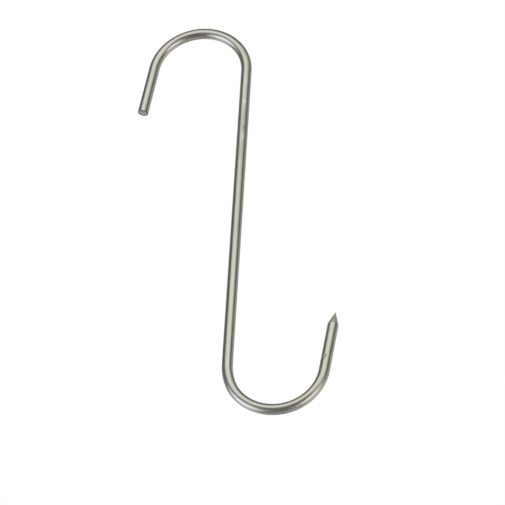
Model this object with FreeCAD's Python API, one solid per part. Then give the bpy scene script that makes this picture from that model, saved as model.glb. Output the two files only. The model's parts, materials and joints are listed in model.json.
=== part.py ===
"""Butcher's S-hook: one round stainless rod, cold bent at both ends.

The rail bend at the top ends in a short straight leg with a square cut end.
The load bend at the bottom is open the other way and ends in a ground point.

Frame: millimetres, +Z up along the shank, the whole hook lies in the XZ plane.
The origin is the rail seat, the highest point inside the rail bend, where the
hook rests on its rail.  The rail bend opens towards -X, the load bend to +X.
"""
import FreeCAD
import Part
import math
import os

# Driving dimensions, in millimetres and degrees.
overall_height = 250.0
wire_diameter = 6.0
rail_bend_inner_radius = 23.9
load_bend_inner_radius = 23.4
rail_bend_angle = 171.5
load_bend_angle = 172.5
rail_leg_length = 30.5
load_leg_length = 27.8
point_length = 7.8
point_tip_radius = 0.15
cut_end_chamfer = 0.4

# Sizes that follow from them.
wire_radius = wire_diameter / 2
rail_bend_radius = rail_bend_inner_radius + wire_radius
load_bend_radius = load_bend_inner_radius + wire_radius
shank_length = overall_height - rail_bend_radius - load_bend_radius - wire_diameter
shank_x = rail_bend_radius
shank_top_z = -rail_bend_inner_radius
shank_bottom_z = shank_top_z - shank_length


def turned(centre, start, degrees):
    """Where start arrives when it turns about centre, from +X towards +Z."""
    angle = math.radians(degrees)
    arm = start - centre
    turned_x = arm.x * math.cos(angle) - arm.z * math.sin(angle)
    turned_z = arm.x * math.sin(angle) + arm.z * math.cos(angle)
    return centre + FreeCAD.Vector(turned_x, 0, turned_z)


def bend(centre, start, degrees):
    """Arc edge of one bend's centre line."""
    halfway = turned(centre, start, degrees / 2)
    end = turned(centre, start, degrees)
    return Part.Arc(start, halfway, end).toShape()


def leg_direction(bend_centre, bend_end):
    """Unit vector along the straight leg that carries on from a bend's end."""
    outward = (bend_end - bend_centre).normalize()
    return FreeCAD.Vector(-outward.z, 0, outward.x)


def square_section(centre, direction):
    """Round face of the wire's section, square to direction."""
    outline = Part.Circle(centre, direction, wire_radius).toShape()
    return Part.Face(Part.Wire([outline]))


def cut_edge_of(rod, end_centre):
    """The sharp round edge of the square cut end."""
    for edge in rod.Edges:
        if isinstance(edge.Curve, Part.Circle):
            if edge.Curve.Center.distanceToPoint(end_centre) < cut_end_chamfer / 10:
                return edge
    raise ValueError("the rod has no cut end")


def ground_point(base_centre, direction):
    """Cone with a very small round tip, on the pointed leg's own axis."""
    up = FreeCAD.Vector(0, 0, 1)
    half_angle = math.atan2(wire_radius, point_length)
    halfway_angle = (half_angle + math.pi / 2) / 2
    tip_centre_z = point_length - point_tip_radius / math.sin(half_angle)

    def on_tip(angle):
        tip_r = point_tip_radius * math.cos(angle)
        return FreeCAD.Vector(tip_r, 0, tip_centre_z + point_tip_radius * math.sin(angle))

    base = FreeCAD.Vector(0, 0, 0)
    shoulder = FreeCAD.Vector(wire_radius, 0, 0)
    flank_end = on_tip(half_angle)
    tip = FreeCAD.Vector(0, 0, tip_centre_z + point_tip_radius)
    half_section = Part.Wire([
        Part.LineSegment(base, shoulder).toShape(),
        Part.LineSegment(shoulder, flank_end).toShape(),
        Part.Arc(flank_end, on_tip(halfway_angle), tip).toShape(),
        Part.LineSegment(tip, base).toShape(),
    ])
    cone = Part.Face(half_section).revolve(base, up, 360)
    cone.Placement = FreeCAD.Placement(base_centre, FreeCAD.Rotation(up, direction))
    return cone


def make_hook_rod():
    """The whole hook: a round wire swept along its centre line, then its ends."""
    shank_top = FreeCAD.Vector(shank_x, 0, shank_top_z)
    shank_bottom = FreeCAD.Vector(shank_x, 0, shank_bottom_z)

    rail_centre = shank_top - FreeCAD.Vector(rail_bend_radius, 0, 0)
    rail_end = turned(rail_centre, shank_top, rail_bend_angle)
    rail_leg = leg_direction(rail_centre, rail_end)
    cut_end = rail_end + rail_leg * rail_leg_length

    load_centre = shank_bottom + FreeCAD.Vector(load_bend_radius, 0, 0)
    load_end = turned(load_centre, shank_bottom, load_bend_angle)
    load_leg = leg_direction(load_centre, load_end)
    shoulder = load_end + load_leg * load_leg_length

    centre_line = Part.Wire([
        Part.LineSegment(cut_end, rail_end).toShape(),
        bend(rail_centre, rail_end, -rail_bend_angle),
        Part.LineSegment(shank_top, shank_bottom).toShape(),
        bend(load_centre, shank_bottom, load_bend_angle),
        Part.LineSegment(load_end, shoulder).toShape(),
    ])
    rod = centre_line.makePipe(square_section(cut_end, rail_leg))
    rod = rod.makeChamfer(cut_end_chamfer, [cut_edge_of(rod, cut_end)])
    return rod.fuse(ground_point(shoulder, load_leg))


os.makedirs("parts", exist_ok=True)
hook_rod = make_hook_rod()
hook_rod.exportStep("parts/hook_rod.step")
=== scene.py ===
"""Looks of a butcher's S-hook: one bright drawn stainless rod, sawn at one end, ground to a point.

The rod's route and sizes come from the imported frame's mounts.  Its skin is a mesh swept along
that route, ring by ring, and every mark on it has a place on the straight rod: a distance from
the cut end and a turn round the rod.  Turn 0 faces the inside of the load bend and the outside
of the rail bend, and turn 270 degrees faces -Y.
"""
import json
import math
from collections import namedtuple

import bmesh
import bpy
from mathutils import Matrix, Vector, noise


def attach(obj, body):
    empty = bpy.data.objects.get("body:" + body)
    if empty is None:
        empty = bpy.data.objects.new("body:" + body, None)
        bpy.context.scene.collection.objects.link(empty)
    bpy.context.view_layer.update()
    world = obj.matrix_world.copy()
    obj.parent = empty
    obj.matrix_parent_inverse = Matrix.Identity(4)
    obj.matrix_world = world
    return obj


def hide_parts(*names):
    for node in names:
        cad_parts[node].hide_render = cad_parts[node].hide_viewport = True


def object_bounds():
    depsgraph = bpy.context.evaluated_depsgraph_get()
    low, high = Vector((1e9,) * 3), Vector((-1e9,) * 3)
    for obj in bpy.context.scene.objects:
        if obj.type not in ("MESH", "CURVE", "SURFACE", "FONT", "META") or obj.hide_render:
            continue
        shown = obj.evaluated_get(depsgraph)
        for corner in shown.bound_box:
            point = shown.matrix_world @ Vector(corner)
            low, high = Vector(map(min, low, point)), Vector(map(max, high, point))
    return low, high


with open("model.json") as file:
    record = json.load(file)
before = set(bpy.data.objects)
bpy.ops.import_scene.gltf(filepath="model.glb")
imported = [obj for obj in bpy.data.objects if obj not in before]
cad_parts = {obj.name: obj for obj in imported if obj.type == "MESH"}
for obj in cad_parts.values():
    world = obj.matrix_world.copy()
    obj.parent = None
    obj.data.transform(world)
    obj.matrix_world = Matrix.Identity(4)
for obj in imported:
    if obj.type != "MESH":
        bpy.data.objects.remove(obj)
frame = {"record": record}
cad_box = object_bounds()

MM = 0.001

# Sizes that the record doesn't state, as the rod's drawing gives them.
POINT_LENGTH = 7.8 * MM
TIP_RADIUS = 0.15 * MM
CUT_CHAMFER = 0.4 * MM

# The mesh: corners in each ring, and how far apart the rings are on plain rod and on a nick.
RING_CORNERS = 96
RING_STEP = 0.55 * MM
NICK_STEP = 0.13 * MM


# ---------------------------------------------------------------- the rod's route

mounts = {mount["name"]: mount for mount in frame["record"]["mounts"]}
WIRE_RADIUS = mounts["rail_leg"]["dims"]["r_mm"] * MM


def leg_of(name):
    """Where a straight leg leaves its bend, the unit vector towards its free end, and its length."""
    mount = mounts[name]
    axis = Vector(mount["axis"]).normalized()
    length = mount["dims"]["length_mm"] * MM
    return Vector(mount["pos_m"]) - axis * length / 2, axis, length


def bend_between(seat, root, axis):
    """Centre and centre-line radius of the bend whose inside touches seat and ends at root."""
    inward = Vector((-axis.z, 0, axis.x))
    radius = (seat.x - root.x) / inward.x
    return root + inward * radius, radius


def line(start, direction):
    """A straight stretch: place and direction after each run along it."""
    return lambda run: (start + direction * run, direction)


def arc(centre, radius, first_angle, spin):
    """A round stretch from first_angle: spin 1 turns from +X towards +Z, and -1 turns back."""
    def after(run):
        angle = first_angle + spin * run / radius
        outward = Vector((math.cos(angle), 0, math.sin(angle)))
        return centre + outward * radius, Vector((-outward.z, 0, outward.x)) * spin
    return after


def lay_route():
    """The rod's centre line from its cut end to the point's shoulder, as (length, stretch) pairs."""
    rail_root, rail_axis, rail_leg = leg_of("rail_leg")
    load_root, load_axis, load_leg = leg_of("load_leg")
    rail_centre, rail_radius = bend_between(Vector(mounts["rail_seat"]["pos_m"]), rail_root, rail_axis)
    load_centre, load_radius = bend_between(Vector(mounts["load_seat"]["pos_m"]), load_root, load_axis)
    rail_sweep = math.atan2(rail_root.z - rail_centre.z, rail_root.x - rail_centre.x)
    load_sweep = math.pi + math.atan2(load_root.z - load_centre.z, load_root.x - load_centre.x)
    shank_top = rail_centre + Vector((rail_radius, 0, 0))
    return [
        (CUT_CHAMFER + rail_leg, line(rail_root + rail_axis * (rail_leg + CUT_CHAMFER), -rail_axis)),
        (rail_sweep * rail_radius, arc(rail_centre, rail_radius, rail_sweep, -1)),
        (rail_centre.z - load_centre.z, line(shank_top, Vector((0, 0, -1)))),
        (load_sweep * load_radius, arc(load_centre, load_radius, math.pi, 1)),
        (load_leg, line(load_root, load_axis)),
    ]


ROUTE = lay_route()
SHOULDER = sum(length for length, stretch in ROUTE)
APEX = SHOULDER + POINT_LENGTH

# Where the load bend starts, the bending pin pulled the rod a little inside the drawn arc.
PULL_AT = 308.2 * MM
PULL_REACH = 6.6 * MM
PULL_DEPTH = 0.25 * MM


def side_of(direction):
    """The unit vector at turn 0."""
    return Vector((-direction.z, 0, direction.x))


def rod_at(along):
    """Place and direction of the rod's centre line, a distance along it from the cut end."""
    run = along
    for length, stretch in ROUTE:
        if run <= length:
            break
        run -= length
    if along > SHOULDER:
        run += length
    place, direction = stretch(run)
    pull = PULL_DEPTH * math.exp(-(((along - PULL_AT) / PULL_REACH) ** 2))
    return place + side_of(direction) * pull, direction


# ---------------------------------------------------------------- marks on the rod

STRAIN_RAMP = 6 * MM

# What turn 0 faces on each stretch of the route: a bend's outside (1) or inside (-1), or no bend.
BEND_SIDES = (0, 1, 0, -1, 0)


def strain_at(along, turn):
    """How the bending stretched the skin: 1 on the outside of a bend, -1 on its inside."""
    start = 0.0
    for (length, stretch), side in zip(ROUTE, BEND_SIDES):
        from_end = min(along - start, start + length - along)
        if side and from_end > 0:
            return side * math.cos(turn) * min(1, from_end / STRAIN_RAMP)
        start += length
    return 0.0


# A mark is an oval at a distance along the rod and a turn in degrees.  Its half length lies
# along the rod, turned by lean degrees towards greater turns.
Mark = namedtuple("Mark", "along turn half_length half_width lean amount")

# How many half lengths from its middle a mark is still felt, and how many a nick has close rings.
MARK_REACH = 3
NICK_REACH = 2

# Dents from handling, their depth as the amount.
NICKS = (
    Mark(388.6 * MM, 275, 1.2 * MM, 0.55 * MM, -24, 0.15 * MM),
    Mark(387.5 * MM, 284, 0.8 * MM, 0.42 * MM, -40, 0.11 * MM),
    Mark(97.0 * MM, 118, 1.1 * MM, 0.2 * MM, 30, 0.035 * MM),
    Mark(246.0 * MM, 64, 0.8 * MM, 0.22 * MM, -55, 0.04 * MM),
    Mark(334.0 * MM, 150, 0.6 * MM, 0.25 * MM, 10, 0.045 * MM),
)

# Dull film left by hands (amount above 0) and rubbed bright places (amount below 0).
SMUDGES = (
    Mark(0.35 * MM, 285, 0.6 * MM, 0.8 * MM, 0, 1.0),
    Mark(0.6 * MM, 257, 0.5 * MM, 0.6 * MM, 0, -0.9),
    Mark(72 * MM, 95, 5 * MM, 1.6 * MM, 12, 0.5),
    Mark(119.8 * MM, 292, 2.4 * MM, 0.9 * MM, 0, -0.45),
    Mark(133.8 * MM, 288, 1.1 * MM, 1 * MM, 0, -1.1),
    Mark(140.6 * MM, 290, 1.7 * MM, 0.9 * MM, 0, 0.6),
    Mark(144.8 * MM, 294, 1.7 * MM, 0.8 * MM, 0, 0.55),
    Mark(148 * MM, 278, 9 * MM, 0.9 * MM, 0, 0.4),
    Mark(151.2 * MM, 292, 1.9 * MM, 1 * MM, 0, 1.0),
    Mark(157.2 * MM, 292, 2 * MM, 0.8 * MM, 0, -0.5),
    Mark(165 * MM, 263, 5 * MM, 0.9 * MM, 0, 0.5),
    Mark(165 * MM, 299, 5 * MM, 0.8 * MM, 0, 0.3),
    Mark(180 * MM, 284, 45 * MM, 1.1 * MM, 0, 0.4),
    Mark(196 * MM, 110, 7 * MM, 1.5 * MM, -8, 0.55),
    Mark(215.6 * MM, 286, 2.2 * MM, 0.7 * MM, 0, 0.35),
    Mark(262 * MM, 60, 4 * MM, 1.4 * MM, 5, 0.5),
)

# On the sawn face and the point, a smudge fades towards the middle as this power of the radius.
SMUDGE_FADE = 4


def strength_of(mark, along, turn):
    """How much of a mark is felt at a place: its amount at its middle, fading smoothly."""
    forward = along - mark.along
    if abs(forward) > MARK_REACH * mark.half_length:
        return 0.0
    away = math.remainder(turn - math.radians(mark.turn), math.tau)
    around = WIRE_RADIUS * away
    lean = math.radians(mark.lean)
    lengthways = forward * math.cos(lean) + around * math.sin(lean)
    crossways = around * math.cos(lean) - forward * math.sin(lean)
    fade = (lengthways / mark.half_length) ** 2 + (crossways / mark.half_width) ** 2
    return mark.amount * math.exp(-fade)


# A drawn rod isn't perfectly round: low lobes run along it and slowly drift round it.
LOBE_DEPTH = 0.016 * MM
LOBE_FREQUENCY = 1.1
LOBE_LENGTH = 16 * MM


def nick_depth(along, turn):
    return sum(strength_of(nick, along, turn) for nick in NICKS)


def rod_radius(along, turn):
    drift = Vector((math.cos(turn) * LOBE_FREQUENCY, math.sin(turn) * LOBE_FREQUENCY, along / LOBE_LENGTH))
    lobe = (noise.noise(drift) - 1) / 2 * LOBE_DEPTH
    return WIRE_RADIUS + lobe - nick_depth(along, turn)


# ---------------------------------------------------------------- the rod's skin

# Faces take one of these, in the order of the mesh's material slots.
DRAWN, GROUND, SAWN = range(3)


class Skin:
    """Rings of points swept into one closed surface, each point with its place on the straight rod."""

    def __init__(self):
        self.points = []
        self.straight = []
        self.film = []
        self.strain = []
        self.scuff_and_dent_shade = []
        self.faces = []
        self.finishes = []

    def point(self, along, turn, radius):
        place, direction = rod_at(along)
        outward = side_of(direction) * math.cos(turn) + Vector((0, math.sin(turn), 0))
        self.points.append(place + outward * radius)
        self.straight.append((radius * math.cos(turn), radius * math.sin(turn), along))
        near_skin = (radius / WIRE_RADIUS) ** SMUDGE_FADE
        self.film.append(near_skin * sum(strength_of(smudge, along, turn) for smudge in SMUDGES))
        self.strain.append(strain_at(along, turn))
        # Each point's dent depth in mm: rougher scuffed skin, and painted shade in the drawn steel.
        self.scuff_and_dent_shade.append(nick_depth(along, turn) / MM)

    def ring(self, shape, finish):
        """Adds a ring, where shape(turn) gives (along, radius), and the band that joins it on."""
        low = len(self.points) - RING_CORNERS
        for corner in range(RING_CORNERS):
            turn = math.tau * corner / RING_CORNERS
            along, radius = shape(turn)
            self.point(along, turn, radius)
        if low < 0:
            return
        for corner in range(RING_CORNERS):
            after = (corner + 1) % RING_CORNERS
            high = low + RING_CORNERS
            self.faces.append((low + corner, low + after, high + after, high + corner))
            self.finishes.append(finish)

    def close(self, first, along, finish, outwards):
        """Fans a ring, whose points start at first, to a middle point on the centre line."""
        middle = len(self.points)
        self.point(along, 0, 0)
        for corner in range(RING_CORNERS):
            after = (corner + 1) % RING_CORNERS
            pair = (first + corner, first + after) if outwards else (first + after, first + corner)
            self.faces.append((*pair, middle))
            self.finishes.append(finish)

    def to_object(self, name, materials):
        mesh = bpy.data.meshes.new(name)
        mesh.from_pydata([tuple(point) for point in self.points], [], self.faces)
        mesh.update()
        straight = mesh.attributes.new("straight_rod", "FLOAT_VECTOR", "POINT")
        straight.data.foreach_set("vector", [value for place in self.straight for value in place])
        for kind, values in (("film", self.film), ("strain", self.strain), ("scuff_and_dent_shade", self.scuff_and_dent_shade)):
            mesh.attributes.new(kind, "FLOAT", "POINT").data.foreach_set("value", values)
        for material in materials:
            mesh.materials.append(material)
        mesh.polygons.foreach_set("material_index", self.finishes)
        mesh.shade_smooth()
        piece = bpy.data.objects.new(name, mesh)
        bpy.context.scene.collection.objects.link(piece)
        return piece


# The sawn end: a rim worn round, and a shallow relief left by the saw and the break behind it.
RIM_RADIUS = 0.34 * MM
RIM_WAVER = 0.08 * MM
RIM_RINGS = 6
FACE_RINGS = 15
RIM_WAVER_FREQUENCY = 2
RELIEF_DEPTH = 0.11 * MM
RELIEF_SIZE = 1.3 * MM
RELIEF_FINER = 2.3

# Noise for different things is read at these places, so that they don't match each other.
RIM_PLACE, FINE_RELIEF_PLACE, FLAT_PLACE = 5, 7, 9


def noise_round(turn, frequency, place):
    """Smooth noise that comes back to itself after a whole turn."""
    return noise.noise(Vector((frequency * math.cos(turn), frequency * math.sin(turn), place)))


def rim_radius(turn):
    return RIM_RADIUS + RIM_WAVER * noise_round(turn, RIM_WAVER_FREQUENCY, RIM_PLACE)


def sawn_depth(turn, radius):
    """How far the sawn face lies inside the rod's full length."""
    spot = Vector((radius * math.cos(turn), radius * math.sin(turn), 0)) / RELIEF_SIZE
    fine = noise.noise(spot * RELIEF_FINER + Vector((FINE_RELIEF_PLACE, 0, 0)))
    rough = noise.noise(spot) + 0.5 * fine
    fade_at_rim = min(1, (WIRE_RADIUS - RIM_RADIUS - radius) / RIM_RADIUS + 0.25)
    return RELIEF_DEPTH * (0.75 + rough) / 2 * max(0, fade_at_rim)


def skin_sawn_end(skin):
    def face(share):
        def shape(turn):
            radius = (WIRE_RADIUS - rim_radius(turn)) * share
            return sawn_depth(turn, radius), radius
        return shape

    def rim(angle):
        def shape(turn):
            bend = rim_radius(turn)
            radius = WIRE_RADIUS - bend * (1 - math.sin(angle))
            face_depth = sawn_depth(turn, WIRE_RADIUS - bend)
            return face_depth * math.cos(angle) + bend * (1 - math.cos(angle)), radius
        return shape

    for step in range(1, FACE_RINGS + 1):
        skin.ring(face(step / FACE_RINGS), SAWN)
    for step in range(1, RIM_RINGS + 1):
        skin.ring(rim(math.pi / 2 * step / RIM_RINGS), SAWN)


def skin_rod(skin):
    along = RIM_RADIUS + 2 * RIM_WAVER
    while along < SHOULDER - 3 * RING_STEP:
        skin.ring(lambda turn: (along, rod_radius(along, turn)), DRAWN)
        on_nick = any(abs(along - nick.along) < NICK_REACH * nick.half_length for nick in NICKS)
        along += NICK_STEP if on_nick else RING_STEP


# The point: ground in uneven flats that meet the drawn skin in a scalloped line.
FLATS = 9
FLAT_DEPTH = 0.45
FLAT_WAVER = 0.3
FLAT_WAVER_FREQUENCY = 1.7
SHOULDER_SOFTNESS = 0.05 * MM
POINT_RINGS = 36
TIP_RINGS = 5
HALF_ANGLE = math.atan2(WIRE_RADIUS, POINT_LENGTH)


def flat_factor(turn):
    """How far a flat cuts inside the round cone at a turn: 1 on the ridges, one of them near turn 0."""
    uneven = turn + FLAT_WAVER * noise_round(turn, FLAT_WAVER_FREQUENCY, FLAT_PLACE)
    from_middle = math.remainder(uneven * FLATS + math.pi, math.tau) / FLATS
    flat = math.cos(math.pi / FLATS) / math.cos(from_middle)
    return 1 - FLAT_DEPTH * (1 - flat)


def skin_point(skin):
    tip_centre = APEX - TIP_RADIUS / math.sin(HALF_ANGLE)
    flank_end = tip_centre + TIP_RADIUS * math.sin(HALF_ANGLE)

    def shoulder_at(turn):
        return APEX - POINT_LENGTH / flat_factor(turn)

    def before_shoulder(gap):
        return lambda turn: (shoulder_at(turn) - gap, rod_radius(SHOULDER, turn))

    def flank(share):
        """A ring a share of the way up the point, where the flats fade into a round cone."""
        def shape(turn):
            start = shoulder_at(turn) + SHOULDER_SOFTNESS
            along = start + (flank_end - start) * share
            cut = 1 - (1 - flat_factor(turn)) * math.sqrt(1 - share)
            radius = (APEX - along) * math.tan(HALF_ANGLE) * cut
            return along, min(radius, WIRE_RADIUS)
        return shape

    def cap(angle):
        return lambda turn: (tip_centre + TIP_RADIUS * math.sin(angle), TIP_RADIUS * math.cos(angle))

    skin.ring(before_shoulder(2 * RING_STEP), DRAWN)
    skin.ring(before_shoulder(RING_STEP), DRAWN)
    skin.ring(before_shoulder(SHOULDER_SOFTNESS), DRAWN)
    for step in range(POINT_RINGS + 1):
        skin.ring(flank(step / POINT_RINGS), GROUND)
    for step in range(1, TIP_RINGS):
        skin.ring(cap(HALF_ANGLE + (math.pi / 2 - HALF_ANGLE) * step / TIP_RINGS), GROUND)


def build_rod(materials):
    skin = Skin()
    skin_sawn_end(skin)
    skin_rod(skin)
    skin_point(skin)
    last_ring = len(skin.points) - RING_CORNERS
    skin.close(0, sawn_depth(0, 0), SAWN, outwards=False)
    skin.close(last_ring, APEX - TIP_RADIUS / math.sin(HALF_ANGLE) + TIP_RADIUS, GROUND, outwards=True)
    return skin.to_object("bent_rod", materials)


# ---------------------------------------------------------------- materials

STAINLESS = (0.63, 0.61, 0.575)


class Nodes:
    """Short ways to add and join the nodes of one material or world."""

    def __init__(self, tree):
        self.tree = tree

    def set(self, socket, value):
        if isinstance(value, bpy.types.NodeSocket):
            self.tree.links.new(value, socket)
        else:
            socket.default_value = value

    def add(self, kind, inputs=None, **settings):
        """A node whose inputs are numbers, colours, or another node's output."""
        node = self.tree.nodes.new(kind)
        for name, value in settings.items():
            setattr(node, name, value)
        for name, value in (inputs or {}).items():
            self.set(node.inputs[name], value)
        return node

    def vector(self, operation, *terms):
        inputs = dict(enumerate(terms))
        return self.add("ShaderNodeVectorMath", inputs, operation=operation).outputs["Vector"]

    def sum(self, *terms):
        """Adds up terms that are each a value, or a pair of a value and its factor."""
        total = 0.0
        for term in terms:
            value, factor = term if isinstance(term, tuple) else (term, 1.0)
            inputs = {0: value, 1: factor, 2: total}
            total = self.add("ShaderNodeMath", inputs, operation="MULTIPLY_ADD").outputs["Value"]
        return total

    def product(self, first, second):
        return self.add("ShaderNodeMath", {0: first, 1: second}, operation="MULTIPLY").outputs["Value"]

    def band(self, value, gone, full):
        """0 where value is at gone or beyond, 1 at full or beyond, and smooth between."""
        inputs = {"Value": value, "From Min": gone, "From Max": full}
        return self.add("ShaderNodeMapRange", inputs, interpolation_type="SMOOTHSTEP").outputs["Result"]

    def distance_out(self, place):
        """How far a place is from the line X = Y = 0."""
        level = self.vector("MULTIPLY", place, (1, 1, 0))
        return self.add("ShaderNodeVectorMath", {0: level}, operation="LENGTH").outputs["Value"]

    def noise(self, place, size, detail=2.0):
        """Noise from about -0.5 to 0.5, in lumps of about size."""
        inputs = {"Vector": place, "Scale": 1 / size, "Detail": detail}
        return self.sum(self.add("ShaderNodeTexNoise", inputs).outputs["Fac"], -0.5)

    def attribute(self, name, kind):
        return self.add("ShaderNodeAttribute", attribute_name=name).outputs[kind]


def start_metal(name):
    """A metal material, its nodes, its shader, and each place on the straight rod in mm."""
    material = bpy.data.materials.new(name)
    material.use_nodes = True
    nodes = Nodes(material.node_tree)
    shader = material.node_tree.nodes["Principled BSDF"]
    shader.inputs["Metallic"].default_value = 1
    place = nodes.vector("MULTIPLY", nodes.attribute("straight_rod", "Vector"), (1 / MM, 1 / MM, 1 / MM))
    return material, nodes, shader, place


def finish_metal(nodes, shader, shade, roughness, relief, tint=None):
    """Joins up a metal: shade multiplies its colour, tint adds to it, and relief is in mm."""
    colour = nodes.vector("SCALE", STAINLESS)
    nodes.set(colour.node.inputs["Scale"], shade)
    if tint:
        colour = nodes.vector("ADD", colour, tint)
    bump = nodes.add("ShaderNodeBump", {"Height": relief, "Distance": MM})
    nodes.set(shader.inputs["Base Color"], colour)
    nodes.set(shader.inputs["Roughness"], roughness)
    nodes.set(shader.inputs["Normal"], bump.outputs["Normal"])


def drawn_steel():
    """Bright drawn wire: fine die lines and wider streaks along it, stray scratches, dull film, and painted
    shade in the dents.
    """
    material, nodes, shader, place = start_metal("drawn_steel")
    film = nodes.attribute("film", "Fac")
    strain = nodes.attribute("strain", "Fac")
    scuff_and_dent_shade = nodes.attribute("scuff_and_dent_shade", "Fac")
    die_lines = nodes.noise(nodes.vector("MULTIPLY", place, (1, 1, 0.02)), 0.14)
    streaks = nodes.noise(nodes.vector("MULTIPLY", place, (1, 1, 0.06)), 1.1)
    blotches = nodes.noise(place, 7, detail=3)
    slanted = nodes.add("ShaderNodeMapping", {
        "Vector": place, "Rotation": (0.06, 0.09, 0), "Scale": (1, 1, 0.04),
    }).outputs["Vector"]
    patchy = nodes.band(nodes.noise(place, 5, detail=1), -0.02, 0.12)
    scratches = nodes.product(nodes.band(nodes.noise(slanted, 0.35, detail=1), 0.15, 0.2), patchy)
    stretched = nodes.band(strain, 0, 1)
    peel = nodes.product(nodes.noise(place, 0.4), stretched)

    tint = nodes.vector("MULTIPLY", film, (-0.15, -0.145, -0.175))
    shade = nodes.sum(
        # The dents are painted darker by their depth: painted shade for the dark room their slopes mirror,
        # on top of their rougher scuffed skin.
        1.0, (streaks, 0.10), (blotches, 0.09), (die_lines, 0.08), (scratches, -0.05), (scuff_and_dent_shade, -2.6),
    )
    roughness = nodes.sum(
        0.29, (streaks, 0.10), (blotches, 0.10), (die_lines, 0.06), (scratches, 0.08),
        (film, 0.08), (strain, 0.03), (scuff_and_dent_shade, 1.0),
    )
    relief = nodes.sum((die_lines, 0.004), (streaks, 0.004), (scratches, -0.004), (peel, 0.004))
    finish_metal(nodes, shader, shade, roughness, relief, tint)
    return material


def ground_steel():
    """Belt-ground steel: matt, with slanting grinding lines across the point."""
    material, nodes, shader, place = start_metal("ground_steel")
    slanted = nodes.add("ShaderNodeMapping", {
        "Vector": place, "Rotation": (0.3, 0.2, 0), "Scale": (0.12, 0.12, 1),
    }).outputs["Vector"]
    lines = nodes.noise(slanted, 0.13, detail=3)
    gouges = nodes.noise(slanted, 0.45, detail=1)
    patches = nodes.noise(place, 1.4)
    shade = nodes.sum(1.22, (lines, 0.12), (patches, 0.10))
    roughness = nodes.sum(0.4, (lines, 0.10), (patches, 0.08))
    relief = nodes.sum((lines, 0.07), (gouges, 0.03))
    finish_metal(nodes, shader, shade, roughness, relief)
    return material


# How far from the middle of the sawn face, in mm, the painted shade on its rim starts and is full: the
# rounded rim is painted darker for the dark room it mirrors.
SHADED_RIM_START, SHADED_RIM_FULL = 1.9, 2.5


def sawn_steel():
    """The sawn face: mottled dull grey with short uneven saw lines, and painted shade on its rim."""
    material, nodes, shader, place = start_metal("sawn_steel")
    turned = nodes.add("ShaderNodeMapping", {
        "Vector": place, "Rotation": (0, 0, 0.6), "Scale": (1, 0.15, 1),
    }).outputs["Vector"]
    lines = nodes.noise(turned, 0.2, detail=3)
    mottle = nodes.noise(place, 1.0, detail=3)
    grain = nodes.noise(place, 0.18)
    # Painted shade: the rim is painted darker, for the dark room that its rounded edge mirrors.
    rim = nodes.band(nodes.distance_out(place), SHADED_RIM_START, SHADED_RIM_FULL)
    film = nodes.attribute("film", "Fac")
    shade = nodes.sum(0.99, (mottle, 1.3), (lines, 0.25), (grain, 0.15), (rim, -0.48), (film, -0.4))
    roughness = nodes.sum(0.52, (mottle, -0.2), (grain, 0.1))
    relief = nodes.sum((lines, 0.02), (mottle, 0.05), (grain, 0.01))
    finish_metal(nodes, shader, shade, roughness, relief)
    return material


# ---------------------------------------------------------------- camera, light and floor

# The camera: degrees, metres, and the lens in millimetres.  It looks up at the hanging hook.
CAMERA_AZIMUTH = 10.27
CAMERA_ELEVATION = -30.33
CAMERA_ROLL = 3.52
CAMERA_DISTANCE = 1.568
CAMERA_LENS = 204.4
CAMERA_AIM = Vector((10.8, 0, -25.05)) * MM
CAMERA_CLIP_END = 100

# The tints of the lights.
WHITE = (1, 1, 1)
WARM = (1, 0.98, 0.95)
GREENISH = (0.95, 1, 0.85)
DAYLIGHT = (0.85, 0.9, 1.05)

# A soft light that the steel mirrors: azimuth and elevation of its middle in degrees, how far
# from there it is full and where it is gone, its brightness and its tint.
Light = namedtuple("Light", "azimuth elevation full gone brightness tint")

# Softboxes shining through a round tent of white cloth, close about the hook.
TENT_RADIUS = 1.42
TENT_SUBDIVISIONS = 4
TENT_LIGHTS = (
    Light(-10, 30, 0, 40, 1.0, WARM),       # overhead softbox
    Light(30, 15, 0, 25, 0.75, GREENISH),   # side softbox
    Light(65, -30, 0, 30, 1.4, WHITE),      # low lamp
)
# What the steel mirrors of the room outside the tent.
ROOM_LIGHTS = (
    Light(-70, -30, 0, 40, 1.6, DAYLIGHT),  # window
    Light(40, 45, 0, 25, 0.5, GREENISH),    # lamp behind the side softbox
    Light(170, -5, 70, 90, 0.2, WHITE),     # back wall
    Light(180, 30, 0, 35, 0.3, WHITE),      # high back softbox
    Light(-140, -20, 0, 30, 0.4, WHITE),    # left back softbox
    Light(135, -15, 0, 30, 0.4, WHITE),     # right back softbox
    Light(120, 10, 0, 40, 0.15, WARM),      # right wall
    Light(120, -70, 0, 40, 0.1, WHITE),     # floor on the right
)
ROOM_BRIGHTNESS = 0.14
ROOM_COLOUR = tuple(ROOM_BRIGHTNESS * part for part in GREENISH)
BACKDROP_COLOUR = (1, 1, 1, 1)

FLOOR_DROP = 1.0
FLOOR_RADIUS = 9.0
FLOOR_FADE_RADIUS = 0.75 * FLOOR_RADIUS
FLOOR_CORNERS = 64
FLOOR_COLOUR = (0.84, 0.84, 0.85, 1)


def direction_to(azimuth, elevation):
    """The unit vector towards a direction: azimuth 0 is -Y, azimuth 90 is +X."""
    around, up = math.radians(azimuth), math.radians(elevation)
    return Vector((math.sin(around) * math.cos(up), -math.cos(around) * math.cos(up), math.sin(up)))


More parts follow.
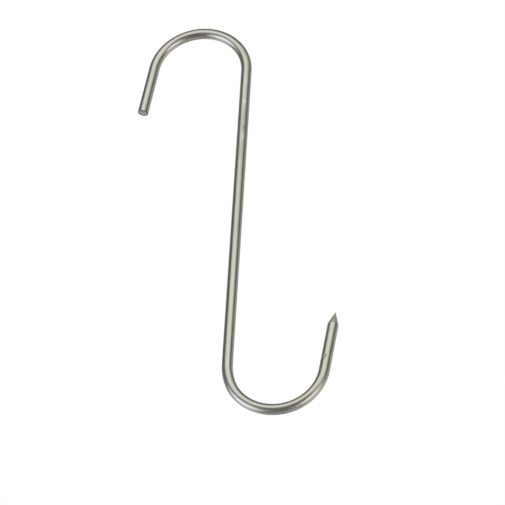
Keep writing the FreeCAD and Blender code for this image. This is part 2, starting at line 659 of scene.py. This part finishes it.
def build_camera():
    lo, hi = cad_box
    back = direction_to(CAMERA_AZIMUTH, CAMERA_ELEVATION)
    camera = bpy.data.objects.new("camera", bpy.data.cameras.new("camera"))
    bpy.context.scene.collection.objects.link(camera)
    camera.data.lens = CAMERA_LENS
    camera.data.clip_end = CAMERA_CLIP_END
    camera.location = (lo + hi) / 2 + CAMERA_AIM + back * CAMERA_DISTANCE
    level = back.to_track_quat("Z", "Y").to_matrix().to_4x4()
    roll = Matrix.Rotation(math.radians(CAMERA_ROLL), 4, "Z")
    camera.rotation_mode = "QUATERNION"
    camera.rotation_quaternion = (level @ roll).to_quaternion()
    bpy.context.scene.camera = camera


def shine(nodes, towards, lights, colour=(0, 0, 0)):
    """The colour seen in a direction: a plain colour and the soft round lights added to it."""
    for light in lights:
        inputs = {0: towards, 1: direction_to(light.azimuth, light.elevation)}
        facing = nodes.add("ShaderNodeVectorMath", inputs, operation="DOT_PRODUCT").outputs["Value"]
        glow = nodes.band(facing, math.cos(math.radians(light.gone)), math.cos(math.radians(light.full)))
        light_colour = tuple(light.brightness * part for part in light.tint)
        colour = nodes.vector("MULTIPLY_ADD", glow, light_colour, colour)
    return colour


def build_world():
    """A dim room with soft lights for the steel to mirror, and a white backdrop for the camera."""
    world = bpy.data.worlds.new("studio")
    bpy.context.scene.world = world
    bpy.context.scene.view_settings.view_transform = "Standard"
    world.use_nodes = True
    nodes = Nodes(world.node_tree)
    towards = nodes.add("ShaderNodeTexCoord").outputs["Generated"]
    room = nodes.add("ShaderNodeBackground", {"Color": shine(nodes, towards, ROOM_LIGHTS, ROOM_COLOUR)})
    backdrop = nodes.add("ShaderNodeBackground", {"Color": BACKDROP_COLOUR})
    seen = nodes.add("ShaderNodeLightPath").outputs["Is Camera Ray"]
    both = nodes.add("ShaderNodeMixShader", {0: seen, 1: room.outputs[0], 2: backdrop.outputs[0]})
    nodes.set(world.node_tree.nodes["World Output"].inputs["Surface"], both.outputs[0])


def start_glow(name):
    """A material without its usual shader, and its nodes."""
    material = bpy.data.materials.new(name)
    material.use_nodes = True
    material.node_tree.nodes.remove(material.node_tree.nodes["Principled BSDF"])
    return material, Nodes(material.node_tree), material.node_tree.nodes["Material Output"].inputs["Surface"]


def build_tent():
    """A round tent of thin cloth, lit by softboxes from outside, that the camera doesn't see."""
    lo, hi = cad_box
    mesh = bpy.data.meshes.new("light_tent")
    ball = bmesh.new()
    bmesh.ops.create_icosphere(ball, subdivisions=TENT_SUBDIVISIONS, radius=TENT_RADIUS)
    ball.to_mesh(mesh)
    ball.free()
    tent = bpy.data.objects.new("light_tent", mesh)
    tent.location = (lo + hi) / 2
    bpy.context.scene.collection.objects.link(tent)
    tent.visible_camera = False
    tent.visible_shadow = False

    material, nodes, surface = start_glow("light_tent")
    place = nodes.add("ShaderNodeTexCoord").outputs["Object"]
    light = shine(nodes, nodes.vector("NORMALIZE", place), TENT_LIGHTS)
    glow = nodes.add("ShaderNodeEmission", {"Color": light})
    clear = nodes.add("ShaderNodeBsdfTransparent")
    cloth = nodes.add("ShaderNodeAddShader", {0: glow.outputs[0], 1: clear.outputs[0]})
    nodes.set(surface, cloth.outputs[0])
    mesh.materials.append(material)


def build_floor():
    """A pale floor well below the hanging hook, fading into the white backdrop."""
    low = cad_box[0].z - FLOOR_DROP
    points = [
        (FLOOR_RADIUS * math.cos(math.tau * corner / FLOOR_CORNERS),
         FLOOR_RADIUS * math.sin(math.tau * corner / FLOOR_CORNERS), low)
        for corner in range(FLOOR_CORNERS)
    ]
    mesh = bpy.data.meshes.new("floor")
    mesh.from_pydata(points, [], [tuple(range(FLOOR_CORNERS))])
    floor = bpy.data.objects.new("floor", mesh)
    bpy.context.scene.collection.objects.link(floor)
    floor.visible_glossy = False
    floor.visible_diffuse = False
    floor.visible_shadow = False

    material, nodes, surface = start_glow("pale_floor")
    place = nodes.add("ShaderNodeTexCoord").outputs["Object"]
    far = nodes.band(nodes.distance_out(place), 0, FLOOR_FADE_RADIUS)
    blend = nodes.add("ShaderNodeMixRGB", {0: far, 1: FLOOR_COLOUR, 2: BACKDROP_COLOUR})
    glow = nodes.add("ShaderNodeEmission", {"Color": blend.outputs[0]})
    nodes.set(surface, glow.outputs[0])
    mesh.materials.append(material)


rod = build_rod([drawn_steel(), ground_steel(), sawn_steel()])
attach(rod, "root")
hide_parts("hook_rod")
build_camera()
build_world()
build_tent()
build_floor()
